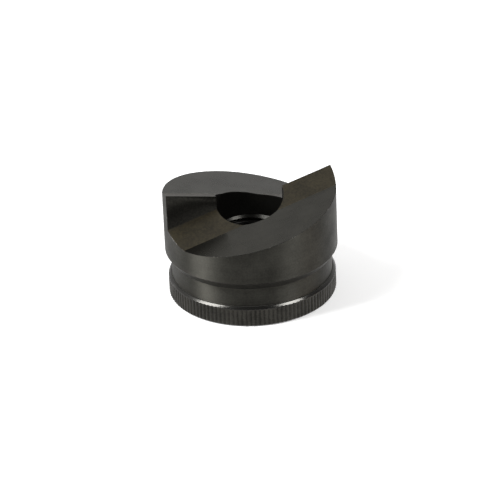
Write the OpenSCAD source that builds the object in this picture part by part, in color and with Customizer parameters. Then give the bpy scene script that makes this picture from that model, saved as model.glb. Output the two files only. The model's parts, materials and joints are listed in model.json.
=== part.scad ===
// Knockout punch with two slug-splitting wings, turned, milled and knurled from one blank of tool steel.
// It stands on its knurled base ring with its two cutting points up: +Z is up and the origin is the
// centre of the base. The walls between the wings run along X, and the draw stud's thread along Z.
// The wings are alike, a half turn apart about Z.

/* [Base ring] */
// Diameter over the crests of the knurl
ring_d = 48.3; // [47:0.1:54]
// Height of the ring, its upper chamfer included
ring_h = 6.15; // [3:0.05:9]
// Chamfer round the ring's upper edge
ring_chamfer = 0.7; // [0.2:0.05:1.1]
// Chamfer round the ring's lower edge
base_chamfer = 0.5; // [0.1:0.05:1.5]
// Number of ridges in the straight knurl
knurl_count = 120; // [48:2:160]
// Depth of the grooves between the ridges
knurl_depth = 0.25; // [0.1:0.05:0.6]
// Width of the flat on each ridge
knurl_crest = 0.3; // [0.1:0.05:0.6]

/* [Waist] */
// Diameter of the plain band above the ring
waist_d = 46.1; // [42:0.1:47.4]
// Height of the plain band
waist_h = 5.45; // [2:0.05:7.5]
// Height of the cone that widens from the band to the body
relief_h = 2.4; // [0.5:0.1:4]

/* [Cutting body] */
// Diameter of the body, and of the hole that it cuts
body_d = 49.6; // [48:0.1:56]
// Height of the two cutting points above the base
point_h = 34.2; // [32.5:0.1:45]

/* [Wings] */
// Fall of each wing along the wall, away from its point, in degrees
edge_angle = 12.9; // [6:0.1:17]
// Distance of each wall from the axis
wall_offset = 0.8; // [0:0.05:2.5]
// Width of the sloping land beside each wall
land_w = 7.5; // [4:0.1:12]
// Fall of the land away from the wall, in degrees
land_angle = 17.5; // [8:0.1:30]
// Fall of the ramp beyond the land, in degrees
ramp_angle = 0.4; // [0:0.1:6]

/* [Stud bore] */
// Outside diameter of the draw stud's thread
stud_d = 19.05; // [12:0.05:25]
// Pitch of the draw stud's thread
thread_pitch = 1.5875; // [1:0.0125:2.5]
// Height of the threaded length, from the base to its upper end
thread_len = 18.3; // [10:0.1:20]
// Clearance round the stud in the plain bore above the thread
stud_clearance = 0.2; // [0.05:0.05:1]
// Slope of the lead-in cone between the plain bore and the thread, in degrees from the axis
lead_in_angle = 45; // [30:1:80]
// Countersink round the thread at the base
base_countersink = 1.2; // [0.2:0.1:2.5]

/* [Hidden] */
$fn = 180;
oxide = [0.22, 0.215, 0.205];
// Depth of a 60 degree internal thread for each millimetre of pitch, in diameter
thread_form = 1.0825;
// How far cutters reach past the faces that they cut
past = 1;

ring_r = ring_d / 2;
waist_r = waist_d / 2;
body_r = body_d / 2;
minor_r = (stud_d - thread_form * thread_pitch) / 2;
clear_r = stud_d / 2 + stud_clearance;
relief_z = ring_h + waist_h;
body_z = relief_z + relief_h;
// How far a wing's cutter runs across the body
reach = 2 * body_d;
// Height of the lead-in cone
lead_in_h = (clear_r - minor_r) / tan(lead_in_angle);
// Distance from the axis to the crease between land and ramp
crease_y = wall_offset + land_w;

// Height at which the ring's two chamfers would meet, outside its crests
chamfer_apex = (ring_h + base_chamfer - ring_chamfer) / 2;

function polar(r, angle) = [r * cos(angle), r * sin(angle)];

// Outline of the knurl: each ridge has the two corners of its crest and shares a groove with the next.
function knurl_points() =
    let (pitch = 360 / knurl_count, half_crest = asin(knurl_crest / ring_d))
    [for (i = [0 : knurl_count - 1]) each [
        polar(ring_r, i * pitch - half_crest),
        polar(ring_r, i * pitch + half_crest),
        polar(ring_r - knurl_depth, (i + 0.5) * pitch)]];

// The knurled ring, with both rims chamfered at 45 degrees.
module knurled_ring() {
    intersection() {
        linear_extrude(ring_h) polygon(knurl_points());
        rotate_extrude() polygon([
            [0, 0],
            [ring_r - base_chamfer, 0],
            [ring_r - base_chamfer + chamfer_apex, chamfer_apex],
            [ring_r - ring_chamfer, ring_h],
            [0, ring_h]]);
    }
}

// The turned blank above the ring: waist, relief cone and straight body.
module blank() {
    rotate_extrude() polygon([
        [0, ring_h / 2],
        [waist_r, ring_h / 2],
        [waist_r, relief_z],
        [body_r, body_z],
        [body_r, point_h + past],
        [0, point_h + past]]);
}

// Everything above the land and ramp of the wing behind the wall, up to the front wing's wall.
// Its section, with Y across the wall, follows the wing's top edge, which falls from the cutting point.
module wing_cut() {
    land_slope = tan(land_angle);
    crease_z = -land_w * land_slope;
    section = [
        [-wall_offset, 2 * wall_offset * land_slope],
        [crease_y, crease_z],
        [reach, crease_z - (reach - crease_y) * tan(ramp_angle)],
        [reach, reach],
        [-wall_offset, reach]];
    translate([-body_r, 0, point_h]) rotate([0, edge_angle, 0]) rotate([90, 0, 90])
        linear_extrude(2 * reach, center = true) polygon(section);
}

// The way of the stud, which comes in from the points: plain bore, lead-in cone, thread and countersink.
module stud_bore() {
    rotate_extrude() polygon([
        [0, -past],
        [minor_r + base_countersink + past, -past],
        [minor_r, base_countersink],
        [minor_r, thread_len - lead_in_h],
        [clear_r, thread_len],
        [clear_r, point_h + 2 * past],
        [0, point_h + 2 * past]]);
}

module punch() {
    color(oxide) difference() {
        union() {
            knurled_ring();
            blank();
        }
        for (turn = [0, 180]) rotate([0, 0, turn])
            wing_cut();
        stud_bore();
    }
}

punch();
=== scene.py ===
# Looks of a two-wing knockout punch: its cut thread, knurl, softened edges and black-oxide finish.
import json
import math

import bmesh
import bpy
from mathutils import Matrix, Vector


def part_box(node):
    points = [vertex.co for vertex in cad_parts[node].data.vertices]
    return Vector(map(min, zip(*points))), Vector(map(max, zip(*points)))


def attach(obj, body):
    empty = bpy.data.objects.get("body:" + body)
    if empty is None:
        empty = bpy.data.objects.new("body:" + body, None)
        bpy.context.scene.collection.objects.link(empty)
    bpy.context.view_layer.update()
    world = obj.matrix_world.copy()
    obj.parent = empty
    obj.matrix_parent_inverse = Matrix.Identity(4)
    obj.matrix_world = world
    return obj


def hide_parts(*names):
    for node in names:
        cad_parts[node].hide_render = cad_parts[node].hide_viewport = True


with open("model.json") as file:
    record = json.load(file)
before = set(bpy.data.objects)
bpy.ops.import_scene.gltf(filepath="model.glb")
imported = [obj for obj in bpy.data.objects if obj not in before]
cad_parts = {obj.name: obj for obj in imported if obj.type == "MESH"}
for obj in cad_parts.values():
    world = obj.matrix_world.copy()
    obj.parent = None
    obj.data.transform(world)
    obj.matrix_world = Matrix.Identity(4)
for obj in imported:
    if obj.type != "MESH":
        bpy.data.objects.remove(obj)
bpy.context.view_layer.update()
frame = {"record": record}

# Sizes in millimetres and angles in degrees. Those that the frame holds come from it.
MM = 0.001
BODY_R = min(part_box("punch")[1].xy) / MM
POINT_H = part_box("punch")[1].z / MM
MOUNTS = {mount["name"]: mount for mount in frame["record"]["mounts"]}
MINOR_R = MOUNTS["stud_thread"]["dims"]["r_mm"]

# Base ring
RING_R = 24.15
RING_H = 6.15
RING_CHAMFER = 0.7
BASE_CHAMFER = 0.5
RIDGES = 120
GROOVE_DEPTH = 0.25
# Height over which the grooves run out below the upper chamfer, and share of their depth that is left there
RUN_OUT = 0.5
RUN_OUT_SHARE = 0.35
# Rounding of the upper chamfer's two edges
RIM_RADIUS = 0.28
RIM_STEPS = 4
# One ridge of the knurl: share of the pitch from the middle of its crest, and share of the groove's depth
RIDGE = ((-0.13, 0.06), (0.0, 0.0), (0.13, 0.06), (0.4, 0.8), (0.5, 1.0), (0.6, 0.8))

# Waist, relief cone and body, with the rounding of their corners
WAIST_R = 23.05
WAIST_H = 5.45
RELIEF_H = 2.4
RELIEF_Z = RING_H + WAIST_H
BODY_Z = RELIEF_Z + RELIEF_H
CORNER_RADIUS = 0.08
CORNER_STEPS = 5

# Wings: fall along the wall, place of the wall, and the land and the ramp beyond it
EDGE_ANGLE = 12.9
WALL_OFFSET = 0.8
LAND_W = 7.5
LAND_ANGLE = 17.5
RAMP_ANGLE = 0.4
# Rounding of the wings' outer edges, and the angle from which an edge gets it
SOFT_EDGE = 0.06
SOFT_EDGE_STEPS = 2
SOFT_EDGE_FROM = 30.0

# Stud bore
STUD_R = 9.525
STUD_CLEARANCE = 0.2
CLEAR_R = STUD_R + STUD_CLEARANCE
THREAD_LEN = 18.3
PITCH = 1.5875
THREAD_DEPTH = STUD_R - MINOR_R
FLANK_ANGLE = 30.0
# Half the width of the thread's groove where it opens, as a share of the pitch
GROOVE_HALF_WIDTH = 0.375
LEAD_IN_ANGLE = 45.0
COUNTERSINK = 1.2

# Columns of the mesh round the axis, whose offsets keep them clear of the ends of the walls and creases
BODY_COLUMNS = 240
BODY_OFFSET = 0.6
BORE_COLUMNS = 160
BORE_OFFSET = 1.06
ROWS_PER_PITCH = 12
# How far the blank stands above the points, and how far the wings' cutters reach
SPARE = 2.0
REACH = 4 * BODY_R
# Angles up to which an edge is shaded smooth, between milled faces and elsewhere
MILLED_SMOOTH = 10.0
TURNED_SMOOTH = 28.0

# Material slots of the mesh, one for each kind of machined face
SLOTS = ("turned", "relief", "shelf", "chamfer", "knurled", "bore", "lead_in", "thread",
         "land", "ramp", "wall", "edge")
TURNED, RELIEF, SHELF, CHAMFER, KNURLED, BORE, LEAD_IN, THREAD, LAND, RAMP, WALL, EDGE = range(len(SLOTS))
MILLED = {LAND, RAMP, WALL}

# Finish: noises by cycles to the metre, depths of the bump in metres
BLOTCHES = 170
GRAIN = 2100
MARKS = 2400
PITS = 1300
NOISE_DETAIL = 2.0
GRIT_DEPTH = 0.00002
FINE_GRIT = GRIT_DEPTH / 4
# How much longer a mill's marks are than wide
MARK_LENGTH = 50
# Range of tool marks and wear, which is weaker than a noise's
FAINT = (0.3, 0.7)
# Sums of the three parts of a finish between which it goes from dark to light, and from oxide to bare steel
USUAL = (1.2, 1.8)
WORN = (1.65, 1.9)
# Usual share of metal in the skin, and its usual index of refraction
METALLIC = 0.88
IOR = 1.5

# Colours of the steel with its oxide skin, by kind of face, and without that skin
STEEL = (0.046, 0.0445, 0.038)
CHAMFER_STEEL = (0.047, 0.0457, 0.0425)
SHELF_STEEL = (0.041, 0.0395, 0.035)
KNURL_STEEL = (0.030, 0.0285, 0.0245)
# The bore, lead-in and thread get darker down the hole: painted shade in the recess
BORE_SHADED_STEEL = (0.028, 0.027, 0.024)
LEAD_IN_SHADED_STEEL = (0.012, 0.0116, 0.0103)
THREAD_SHADED_STEEL = (0.006, 0.0058, 0.0052)
LAND_STEEL = (0.0212, 0.0177, 0.0104)
RAMP_STEEL = (0.053, 0.051, 0.0435)
WALL_STEEL = (0.0255, 0.0245, 0.021)
EDGE_STEEL = (0.016, 0.0155, 0.014)
BARE_STEEL = (0.3, 0.29, 0.27)

# Camera: its turn is from the front to the right, its lens in millimetres and other lengths in metres
VIEW_TURN = -20.38
VIEW_ELEVATION = 28.08
VIEW_ROLL = 2.34
VIEW_DISTANCE = 0.815
VIEW_LENS = 203.7
VIEW_AIM_RIGHT = -0.00029
VIEW_AIM_UP = 0.01173

# Floor: metres from its middle to its sides, grey, and light that comes through it and keeps shadows faint
FLOOR_REACH = 3.0
FLOOR_GREY = 0.8
FLOOR_GLOW = 0.3

# Tent round the object: place of its bright side from the camera, and brightness of its walls
BRIGHT_AZIMUTH = -165
BRIGHT_ELEVATION = 30
FRONT_GLOW = 0.05
BACK_GLOW = 0.7
# Brightness of the table, which stands for the floor in reflections, and share of it left below the object
FRONT_TABLE_GLOW = 1.2
BACK_TABLE_GLOW = 0.6
SHADE = 0.25
# Cosines to the bright side between which the walls and the table go from front to back
WALLS_TURN = (0.1, 0.6)
TABLE_TURN = (0.45, 0.8)
# Heights of a direction between which the shade ends, and between which the table gives way to the walls
SHADE_END = (-1.0, -0.65)
HORIZON = (-0.05, 0.05)

WHITE = (1.0, 1.0, 1.0)
WARM = (1.0, 0.86, 0.74)


# Mesh helpers

def even_angles(count, offset):
    """Angles of evenly spaced columns, the first at an offset in degrees."""
    return [math.radians(offset) + math.tau * i / count for i in range(count)]


def add_ring(bm, columns):
    """Adds one closed ring of vertices, from the angle, radius and height of each column."""
    return [bm.verts.new((radius * math.cos(angle), radius * math.sin(angle), height))
            for angle, radius, height in columns]


def add_circle(bm, angles, radius, height):
    """Adds one closed ring of vertices with the same radius and height all round."""
    return add_ring(bm, [(angle, radius, height) for angle in angles])


def add_face(bm, corners, slot):
    """Adds a face with a material slot."""
    face = bm.faces.new(corners)
    face.material_index = slot


def bridge(bm, first, second, slot):
    """Joins two rings with the same number of columns by quads."""
    for i, low in enumerate(first):
        j = (i + 1) % len(first)
        add_face(bm, (low, first[j], second[j], second[i]), slot)


def bridge_all(bm, rings, slot):
    """Joins each ring to the next."""
    for first, second in zip(rings, rings[1:]):
        bridge(bm, first, second, slot)


def zip_rings(bm, first, second, slot):
    """Joins two rings with different numbers of columns by triangles."""
    i = j = 0
    while i < len(first) or j < len(second):
        here, there = first[i % len(first)], second[j % len(second)]
        if (i + 1) / len(first) <= (j + 1) / len(second):
            i += 1
            add_face(bm, (here, first[i % len(first)], there), slot)
        else:
            j += 1
            add_face(bm, (here, second[j % len(second)], there), slot)


def rounded(points, radius, steps):
    """A profile with each of its inner corners rounded by an arc."""
    points = [Vector(p) for p in points]
    made = [points[0]]
    for before, corner, after in zip(points, points[1:], points[2:]):
        back = (before - corner).normalized()
        on = (after - corner).normalized()
        half = back.angle(on) / 2
        centre = corner + (back + on).normalized() * radius / math.sin(half)
        start = corner + back * radius / math.tan(half) - centre
        end = corner + on * radius / math.tan(half) - centre
        for step in range(steps + 1):
            made.append(centre + start.lerp(end, step / steps).normalized() * radius)
    return made + [points[-1]]


# The blank before its wings are milled

def knurl_columns(depth):
    """Angle and radius of each column of the knurl, with grooves of a given depth."""
    pitch = math.tau / RIDGES
    return [((ridge + share) * pitch, RING_R - groove * depth)
            for ridge in range(RIDGES) for share, groove in RIDGE]


def rim_profile(radius, foot_z):
    """Points of the upper chamfer above one column of the knurl, with both of its edges rounded."""
    rim_r = RING_R - RING_CHAMFER
    corners = [(radius, foot_z), (radius, RING_H - radius + rim_r), (rim_r, RING_H), (WAIST_R, RING_H)]
    return rounded(corners, RIM_RADIUS, RIM_STEPS)[1:-1]


def ring_rings(bm):
    """Rings of the base ring: its foot, its knurl, and the rim where the grooves run out into a chamfer."""
    foot_r = RING_R - BASE_CHAMFER
    run_out_z = RING_H - RING_CHAMFER - RUN_OUT
    deep = knurl_columns(GROOVE_DEPTH)
    shallow = knurl_columns(GROOVE_DEPTH * RUN_OUT_SHARE)
    foot = add_circle(bm, [angle for angle, radius in deep], foot_r, 0)
    knurl = [add_ring(bm, [(angle, radius, radius - foot_r) for angle, radius in deep]),
             add_ring(bm, [(angle, radius, run_out_z) for angle, radius in deep])]
    rims = [[(angle, *point) for point in rim_profile(radius, run_out_z)] for angle, radius in shallow]
    return foot, knurl, [add_ring(bm, columns) for columns in zip(*rims)]


def body_rings(bm):
    """Rings of the waist up to the relief cone, and of the body from the cone to above the points."""
    corners = [(RING_R - RING_CHAMFER, RING_H), (WAIST_R, RING_H), (WAIST_R, RELIEF_Z),
               (BODY_R, BODY_Z), (BODY_R, POINT_H + SPARE)]
    profile = rounded(corners, CORNER_RADIUS, CORNER_STEPS)
    angles = even_angles(BODY_COLUMNS, BODY_OFFSET)
    rings = [add_circle(bm, angles, radius, height) for radius, height in profile[1:]]
    # Two rounded corners lie below the cone
    cone = 2 * (CORNER_STEPS + 1)
    return rings[:cone], rings[cone:]


def bore_radius(angle, height):
    """Radius of the threaded length: a right-hand groove in the minor diameter, with a cone at each end."""
    # Distance from the middle of the groove, along the axis
    across = abs((height / PITCH - angle / math.tau) % 1 - 0.5) * PITCH
    depth = (GROOVE_HALF_WIDTH * PITCH - across) / math.tan(math.radians(FLANK_ANGLE))
    thread = MINOR_R + min(max(depth, 0), THREAD_DEPTH)
    lead_in = CLEAR_R - (THREAD_LEN - height) * math.tan(math.radians(LEAD_IN_ANGLE))
    countersink = MINOR_R + COUNTERSINK - height
    return max(thread, lead_in, countersink)


def bore_rings(bm):
    """Rings of the stud's way from above the points down: to the end of the lead-in, and of the thread."""
    angles = even_angles(BORE_COLUMNS, BORE_OFFSET)
    rows = round(THREAD_LEN / PITCH * ROWS_PER_PITCH)
    rings = [add_circle(bm, angles, CLEAR_R, POINT_H + SPARE)]
    for row in range(rows + 1):
        height = THREAD_LEN * (1 - row / rows)
        rings.append(add_ring(bm, [(angle, bore_radius(angle, height), height) for angle in angles]))
    lead_in_h = (CLEAR_R - MINOR_R) / math.tan(math.radians(LEAD_IN_ANGLE))
    end = 1 + round(lead_in_h / THREAD_LEN * rows)
    return rings[:end + 1], rings[end:]


def blank():
    """The closed blank, turned, bored, threaded and knurled."""
    bm = bmesh.new()
    foot, knurl, rim = ring_rings(bm)
    waist, body = body_rings(bm)
    bore, thread = bore_rings(bm)
    bridge(bm, foot, knurl[0], CHAMFER)
    bridge_all(bm, knurl + rim[:1], KNURLED)
    bridge_all(bm, rim, CHAMFER)
    zip_rings(bm, rim[-1], waist[0], SHELF)
    bridge_all(bm, waist, TURNED)
    bridge(bm, waist[-1], body[0], RELIEF)
    bridge_all(bm, body, TURNED)
    zip_rings(bm, body[-1], bore[0], TURNED)
    bridge(bm, bore[0], bore[1], BORE)
    bridge_all(bm, bore[1:], LEAD_IN)
    bridge_all(bm, thread, THREAD)
    zip_rings(bm, thread[-1], foot, TURNED)
    return bm


# The wings

def wing_cutter():
    """A prism along the falling edge of a wing, over its land and ramp and up to the other wing's wall."""
    slope = math.tan(math.radians(LAND_ANGLE))
    crease = Vector((WALL_OFFSET + LAND_W, -LAND_W * slope))
    drop = (REACH - crease.x) * math.tan(math.radians(RAMP_ANGLE))
    section = ((-WALL_OFFSET, 2 * WALL_OFFSET * slope), crease, (REACH, crease.y - drop),
               (REACH, REACH), (-WALL_OFFSET, REACH))
    bm = bmesh.new()
    ends = [[bm.verts.new((x, y, z)) for y, z in section] for x in (-REACH, REACH)]
    for i, slot in enumerate((LAND, RAMP, RAMP, WALL, WALL)):
        j = (i + 1) % len(section)
        add_face(bm, (ends[0][i], ends[0][j], ends[1][j], ends[1][i]), slot)
    for end in ends:
        add_face(bm, end, WALL)
    bmesh.ops.recalc_face_normals(bm, faces=bm.faces)
    fall = Matrix.Rotation(math.radians(EDGE_ANGLE), 4, "Y")
    bm.transform(Matrix.Translation((-BODY_R, 0, POINT_H)) @ fall)
    return bm


def add_object(name, bm, finishes):
    """Makes a mesh object with the punch's material slots from a bmesh."""
    mesh = bpy.data.meshes.new(name)
    bm.to_mesh(mesh)
    bm.free()
    for slot in SLOTS:
        mesh.materials.append(finishes[slot])
    made = bpy.data.objects.new(name, mesh)
    bpy.context.scene.collection.objects.link(made)
    return made


def mill_wings(piece, finishes):
    """Cuts both wings out of the blank, a half turn apart, and returns the result as a bmesh."""
    cutters = []
    for turn in (0, math.pi):
        cutter = add_object("cutter", wing_cutter(), finishes)
        cutter.rotation_euler.z = turn
        cut = piece.modifiers.new("wing", "BOOLEAN")
        cut.operation = "DIFFERENCE"
        cut.solver = "EXACT"
        cut.object = cutter
        cutters.append(cutter)
    graph = bpy.context.evaluated_depsgraph_get()
    milled = bmesh.new()
    milled.from_mesh(piece.evaluated_get(graph).to_mesh())
    piece.modifiers.clear()
    for cutter in cutters:
        bpy.data.objects.remove(cutter)
    return milled


def soften_edges(bm):
    """Breaks the outer edges that milling left, with a narrow rounded band in the slot for bare edges."""
    outer = [edge for edge in bm.edges
             if any(face.material_index in MILLED for face in edge.link_faces)
             and edge.calc_face_angle_signed(0) > math.radians(SOFT_EDGE_FROM)]
    bmesh.ops.bevel(bm, geom=outer, offset=SOFT_EDGE, offset_type="OFFSET", segments=SOFT_EDGE_STEPS,
                    profile=0.5, affect="EDGES", clamp_overlap=True, material=EDGE)


def shade_faces(bm):
    """Shades faces smooth, with crisp edges except within the knurl, the bore and the softened bands."""
    for face in bm.faces:
        face.smooth = True
    for edge in bm.edges:
        slots = {face.material_index for face in edge.link_faces}
        limit = MILLED_SMOOTH if slots <= MILLED else TURNED_SMOOTH
        round_here = EDGE in slots or slots in ({KNURLED}, {THREAD}, {LEAD_IN})
        edge.smooth = round_here or edge.calc_face_angle(0) < math.radians(limit)


def make_punch(finishes):
    """The whole punch as one closed mesh, in place of its CAD solid."""
    piece = add_object("punch_body", blank(), finishes)
    milled = mill_wings(piece, finishes)
    soften_edges(milled)
    shade_faces(milled)
    milled.transform(Matrix.Scale(MM, 4))
    milled.to_mesh(piece.data)
    milled.free()
    normals = piece.modifiers.new("flat faces stay flat", "WEIGHTED_NORMAL")
    normals.keep_sharp = True
    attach(piece, "root")
    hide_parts("punch")


# Nodes that the materials and the tent are made of

def noise(tree, place, scale):
    """Noise from 0 to 1, with a number of cycles to the metre."""
    made = tree.nodes.new("ShaderNodeTexNoise")
    made.inputs["Scale"].default_value = scale
    made.inputs["Detail"].default_value = NOISE_DETAIL
    tree.links.new(place, made.inputs["Vector"])
    return made.outputs["Fac"]


def ranged(tree, value, before, after, easing="LINEAR"):
    """A value taken from one range to another, and kept within it."""
    made = tree.nodes.new("ShaderNodeMapRange")
    made.interpolation_type = easing
    made.inputs["From Min"].default_value, made.inputs["From Max"].default_value = before
    made.inputs["To Min"].default_value, made.inputs["To Max"].default_value = after
    tree.links.new(value, made.inputs["Value"])
    return made.outputs["Result"]


def calculated(tree, operation, first, second):
    """The sum, product or like of two values."""
    made = tree.nodes.new("ShaderNodeMath")
    made.operation = operation
    tree.links.new(first, made.inputs[0])
    tree.links.new(second, made.inputs[1])
    return made.outputs["Value"]


def stretched(tree, place, scales):
    """A place with each coordinate times a number."""
    made = tree.nodes.new("ShaderNodeVectorMath")
    made.operation = "MULTIPLY"
    made.inputs[1].default_value = scales
    tree.links.new(place, made.inputs[0])
    return made.outputs["Vector"]


def radius_of(tree, place):
    """Distance of a place from the axis."""
    made = tree.nodes.new("ShaderNodeVectorMath")
    made.operation = "LENGTH"
    tree.links.new(stretched(tree, place, (1, 1, 0)), made.inputs[0])
    return made.outputs["Value"]


def height_of(tree, place):
    """Height of a place."""
    made = tree.nodes.new("ShaderNodeSeparateXYZ")
    tree.links.new(place, made.inputs["Vector"])
    return made.outputs["Z"]


def mixed_colour(tree, share, dark, light):
    """A colour between two, by a share."""
    made = tree.nodes.new("ShaderNodeMix")
    made.data_type = "RGBA"
    # The sockets for colours go by number, because others have the same names
    share_in, dark_in, light_in = made.inputs[0], made.inputs[6], made.inputs[7]
    dark_in.default_value = (*dark, 1)
    light_in.default_value = (*light, 1)
    tree.links.new(share, share_in)
    return made.outputs[2]


# Marks of the tools, and of use

def lathe_marks(tree, place):
    """Fine rings round the axis, which differ by radius and height only."""
    join = tree.nodes.new("ShaderNodeCombineXYZ")
    tree.links.new(radius_of(tree, place), join.inputs["X"])
    tree.links.new(height_of(tree, place), join.inputs["Z"])
    return ranged(tree, noise(tree, join.outputs["Vector"], MARKS), (0, 1), FAINT)


def mill_marks(tree, place):
    """Fine streaks along the wings."""
    along = stretched(tree, place, (1 / MARK_LENGTH, 1, 1 / MARK_LENGTH))
    return ranged(tree, noise(tree, along, MARKS), (0, 1), FAINT)


def pits(tree, place):
    """Coarser grit, as a rough cut leaves it."""
    return noise(tree, place, PITS)


def knurl_wear(tree, place):
    """Crests that hands have rubbed lighter, and grooves that hold dirt."""
    grooves = ((RING_R - GROOVE_DEPTH) * MM, RING_R * MM)
    return ranged(tree, radius_of(tree, place), grooves, FAINT)


# Materials

def shades(colour, contrast):
    """A colour made darker and lighter by a share."""
    return [tuple(channel * (1 + way * contrast) for channel in colour) for way in (-1, 1)]


def add_bump(tree, shader, height, depth):
    """Roughens a surface by a height from 0 to 1, which stands for a depth in metres."""
    bump = tree.nodes.new("ShaderNodeBump")
    bump.inputs["Strength"].default_value = 1.0
    bump.inputs["Distance"].default_value = depth
    tree.links.new(height, bump.inputs["Height"])
    tree.links.new(bump.outputs["Normal"], shader.inputs["Normal"])


def brush(material, amount, axis, rotation):
    """Draws a material's gloss out one way, as tool marks do. rotation is in turns, from round the axis."""
    tree = material.node_tree
    shader = tree.nodes["Principled BSDF"]
    tangent = tree.nodes.new("ShaderNodeTangent")
    tangent.direction_type = "RADIAL"
    tangent.axis = axis
    tree.links.new(tangent.outputs["Tangent"], shader.inputs["Tangent"])
    shader.inputs["Anisotropic"].default_value = amount
    shader.inputs["Anisotropic Rotation"].default_value = rotation


def oxide(name, colours, roughness, marks, metallic=METALLIC, depth=GRIT_DEPTH, onset=USUAL, ior=IOR):
    """Black oxide on steel: a thin skin that goes from dark to light in blotches, grains and tool marks.

    Its two colours and its two values of roughness are for the dark places and for the light ones.
    """
    material = bpy.data.materials.new(name)
    material.use_nodes = True
    tree = material.node_tree
    shader = tree.nodes["Principled BSDF"]
    place = tree.nodes.new("ShaderNodeTexCoord").outputs["Object"]
    fine = calculated(tree, "ADD", noise(tree, place, GRAIN), marks(tree, place))
    whole = calculated(tree, "ADD", noise(tree, place, BLOTCHES), fine)
    colour = mixed_colour(tree, ranged(tree, whole, onset, (0, 1)), *colours)
    tree.links.new(colour, shader.inputs["Base Color"])
    tree.links.new(ranged(tree, whole, USUAL, roughness), shader.inputs["Roughness"])
    add_bump(tree, shader, fine, depth)
    shader.inputs["Metallic"].default_value = metallic
    shader.inputs["IOR"].default_value = ior
    return material


def turned_finishes():
    """Finishes of the faces that a lathe cut outside."""
    made = {
        "turned": oxide("turned_oxide", shades(STEEL, 0.18), (0.52, 0.44), lathe_marks, depth=FINE_GRIT),
        "relief": oxide("relief_oxide", shades(STEEL, 0.18), (0.48, 0.4), lathe_marks, depth=FINE_GRIT),
        "shelf": oxide("shelf_oxide", shades(SHELF_STEEL, 0.25), (0.7, 0.6), lathe_marks, metallic=0.2),
        "chamfer": oxide("chamfer_oxide", shades(CHAMFER_STEEL, 0.1), (0.21, 0.17), lathe_marks,
                         depth=FINE_GRIT),
        "knurled": oxide("knurled_oxide", shades(KNURL_STEEL, 0.42), (0.5, 0.4), knurl_wear,
                         depth=FINE_GRIT),
    }
    brush(made["turned"], amount=0.97, axis="Z", rotation=0.25)
    return made


def bored_finishes():
    """Finishes of the stud's way, darker down the hole as painted shade."""
    return {
        "bore": oxide("bore_oxide_painted_shade", shades(BORE_SHADED_STEEL, 0.2), (0.36, 0.3), lathe_marks),
        "lead_in": oxide("lead_in_oxide_painted_shade", shades(LEAD_IN_SHADED_STEEL, 0.3), (0.34, 0.27), lathe_marks),
        "thread": oxide("thread_oxide_painted_shade", shades(THREAD_SHADED_STEEL, 0.3), (0.4, 0.3), lathe_marks),
    }


def milled_finishes():
    """Finishes of the wings: dull gritty lands, satin ramps, dark walls and edges worn to bare steel."""
    made = {
        "land": oxide("land_oxide", shades(LAND_STEEL, 0.35), (0.42, 0.34), pits, metallic=0.2, ior=1.32),
        "ramp": oxide("ramp_oxide", shades(RAMP_STEEL, 0.15), (0.28, 0.22), mill_marks, metallic=0.97,
                      depth=FINE_GRIT),
        "wall": oxide("wall_oxide", shades(WALL_STEEL, 0.35), (0.37, 0.3), pits, metallic=0.93,
                      depth=FINE_GRIT),
        "edge": oxide("edge_oxide", (EDGE_STEEL, BARE_STEEL), (0.5, 0.35), mill_marks, onset=WORN),
    }
    brush(made["ramp"], amount=0.7, axis="X", rotation=0.0)
    return made


# Stage

def direction(azimuth, elevation):
    """Unit vector away from the object, by the angle round it from the front and that above the floor."""
    azimuth, elevation = math.radians(azimuth), math.radians(elevation)
    flat = math.cos(elevation)
    return Vector((math.sin(azimuth) * flat, -math.cos(azimuth) * flat, math.sin(elevation)))


def add_camera():
    """The camera at the photograph's viewing angle."""
    data = bpy.data.cameras.new("camera")
    data.sensor_fit = "HORIZONTAL"
    data.lens = VIEW_LENS
    back = direction(VIEW_TURN, VIEW_ELEVATION)
    right = Vector((0, 0, 1)).cross(back).normalized()
    up = back.cross(right)
    target = Vector((0, 0, VIEW_AIM_UP)) + right * VIEW_AIM_RIGHT
    axes = Matrix((right, up, back)).transposed().to_4x4()
    roll = Matrix.Rotation(-math.radians(VIEW_ROLL), 4, "Z")
    camera = bpy.data.objects.new("camera", data)
    camera.matrix_world = Matrix.Translation(target + back * VIEW_DISTANCE) @ axes @ roll
    bpy.context.scene.collection.objects.link(camera)
    bpy.context.scene.camera = camera


def floor_material():
    """Dull pale grey that glows a little, as a lit table does."""
    material = bpy.data.materials.new("floor")
    material.use_nodes = True
    shader = material.node_tree.nodes["Principled BSDF"]
    shader.inputs["Base Color"].default_value = (FLOOR_GREY, FLOOR_GREY, FLOOR_GREY, 1)
    shader.inputs["Roughness"].default_value = 1.0
    shader.inputs["Specular IOR Level"].default_value = 0.0
    shader.inputs["Emission Color"].default_value = (*WHITE, 1)
    shader.inputs["Emission Strength"].default_value = FLOOR_GLOW
    return material


def add_floor():
    """A plain floor, for which the tent's table stands in reflections."""
    bm = bmesh.new()
    bmesh.ops.create_grid(bm, x_segments=1, y_segments=1, size=FLOOR_REACH)
    mesh = bpy.data.meshes.new("floor")
    bm.to_mesh(mesh)
    bm.free()
    mesh.materials.append(floor_material())
    floor = bpy.data.objects.new("floor", mesh)
    floor.visible_glossy = False
    bpy.context.scene.collection.objects.link(floor)


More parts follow.
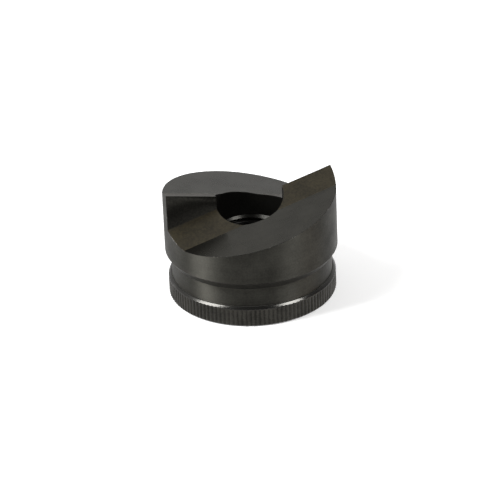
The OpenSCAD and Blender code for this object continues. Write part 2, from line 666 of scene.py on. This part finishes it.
def set_world():
    """A tent that is bright behind the object and dark on the camera's side, over a pale table."""
    world = bpy.data.worlds.new("tent")
    world.use_nodes = True
    bpy.context.scene.world = world
    tree = world.node_tree
    place = tree.nodes.new("ShaderNodeTexCoord").outputs["Generated"]
    facing = tree.nodes.new("ShaderNodeVectorMath")
    facing.operation = "DOT_PRODUCT"
    facing.inputs[1].default_value = direction(VIEW_TURN + BRIGHT_AZIMUTH, BRIGHT_ELEVATION)
    tree.links.new(place, facing.inputs[0])
    turn = facing.outputs["Value"]
    walls = ranged(tree, turn, WALLS_TURN, (FRONT_GLOW, BACK_GLOW), "SMOOTHSTEP")
    table = ranged(tree, turn, TABLE_TURN, (FRONT_TABLE_GLOW, BACK_TABLE_GLOW), "SMOOTHSTEP")
    height = height_of(tree, place)
    shade = ranged(tree, height, SHADE_END, (SHADE, 1))
    glow = tree.nodes.new("ShaderNodeMix")
    tree.links.new(ranged(tree, height, HORIZON, (0, 1)), glow.inputs["Factor"])
    tree.links.new(calculated(tree, "MULTIPLY", table, shade), glow.inputs["A"])
    tree.links.new(walls, glow.inputs["B"])
    background = tree.nodes["Background"]
    background.inputs["Color"].default_value = (*WHITE, 1)
    tree.links.new(glow.outputs["Result"], background.inputs["Strength"])


def add_softbox(name, azimuth, elevation, distance, size, radiance, colour=WHITE):
    """A flat lamp that faces the object. Its azimuth is from the camera, and its power by its radiance."""
    width, height = size
    data = bpy.data.lights.new(name, "AREA")
    data.shape = "RECTANGLE"
    data.color = colour
    data.size = width
    data.size_y = height
    data.energy = radiance * math.pi * width * height
    lamp = bpy.data.objects.new(name, data)
    away = direction(VIEW_TURN + azimuth, elevation)
    lamp.location = away * distance
    lamp.rotation_mode = "QUATERNION"
    lamp.rotation_quaternion = away.to_track_quat("Z", "Y")
    bpy.context.scene.collection.objects.link(lamp)


def add_lamps():
    """Two bright softboxes high at the sides, and three dim ones low down that fill in."""
    add_softbox("left softbox", azimuth=-74, elevation=42, distance=0.7, size=(0.25, 0.5), radiance=18)
    add_softbox("right softbox", azimuth=65, elevation=51, distance=0.7, size=(0.25, 0.2), radiance=17)
    add_softbox("left fill", azimuth=-112, elevation=9, distance=0.8, size=(0.5, 0.26), radiance=0.9)
    add_softbox("right fill", azimuth=79, elevation=9, distance=0.8, size=(0.5, 0.26), radiance=2.0,
                colour=WARM)
    add_softbox("front fill", azimuth=0, elevation=8, distance=0.8, size=(0.5, 0.22), radiance=0.6)


make_punch({**turned_finishes(), **bored_finishes(), **milled_finishes()})
add_camera()
add_floor()
set_world()
add_lamps()
bpy.context.scene.view_settings.view_transform = "Standard"
